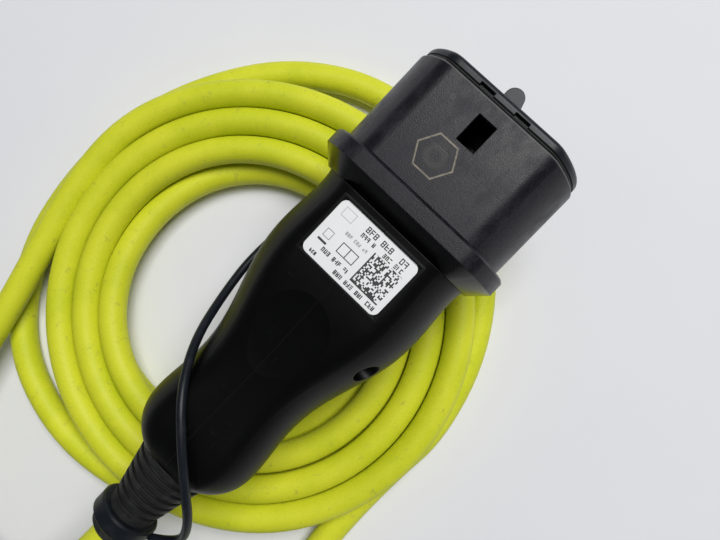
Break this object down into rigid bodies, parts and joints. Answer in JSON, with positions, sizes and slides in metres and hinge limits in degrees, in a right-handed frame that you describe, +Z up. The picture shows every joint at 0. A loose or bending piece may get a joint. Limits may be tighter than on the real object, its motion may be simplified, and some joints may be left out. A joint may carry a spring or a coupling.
{
  "type": "ev charging plug",
  "caption": "Three phase electric car charging plug with a capped flat topped nose and black handle, lying on its loose lime yellow cable coil with the vehicle end beside it.",
  "frame": {"origin": "on the earth pin's axis, 2.4 mm behind the nose's front rim", "axes": "+X along the plug's axis out of its tip, +Z up through the nose's flat, with the plug level on its coil"},
  "size_m": [0.4619, 0.2495, 0.0833],
  "materials": {
    "nose_plastic": "fine grained glass filled nylon, black",
    "handle_plastic": "smooth satin black",
    "insulator": "plain dark moulding",
    "contact_metal": "silver plated brass",
    "label": "silver white satin foil",
    "screw_steel": "plain steel",
    "relief_rubber": "matt black",
    "cable_jacket": "satin lime yellow jacket",
    "core_insulation": "core insulation, one colour a core",
    "resistor": "lacquered",
    "cap_rubber": "soft blue black",
    "seal_rubber": "plain seal"
  },
  "bodies": {
    "plug": {"nose_shell": "nose_plastic", "collar": "nose_plastic", "contact_carrier": "insulator", "contact_retainer": "insulator", "pin_pe": "contact_metal", "pin_l1": "contact_metal", "pin_n": "contact_metal", "pin_l2": "contact_metal", "pin_l3": "contact_metal", "pin_cp": "contact_metal", "pin_pp": "contact_metal", "left_shell": "handle_plastic", "right_shell": "handle_plastic", "label_plate": "label", "housing_screws": "screw_steel", "bend_relief": "relief_rubber", "cable_jacket": "cable_jacket", "clamp_base": "insulator", "clamp_cap": "insulator", "clamp_screws": "screw_steel", "cores": "core_insulation", "coding_resistor": "resistor", "tether": "cap_rubber", "tether_ring": "cap_rubber", "cable_lead": "cable_jacket", "cable_coil": "cable_jacket", "cable_tail": "cable_jacket", "far_nose": "nose_plastic", "far_collar": "nose_plastic", "far_insert": "insulator", "far_contacts": "contact_metal", "far_left_shell": "handle_plastic", "far_right_shell": "handle_plastic", "far_relief": "relief_rubber"},
    "cap": {"end_cap": "cap_rubber", "cap_gasket": "seal_rubber"}
  },
  "joints": [
    {"name": "cap_pull", "type": "slide", "parent": "plug", "child": "cap", "axis": [1, 0, 0], "range_m": [0, 0.04], "deforming": ["tether"]}
  ]
}
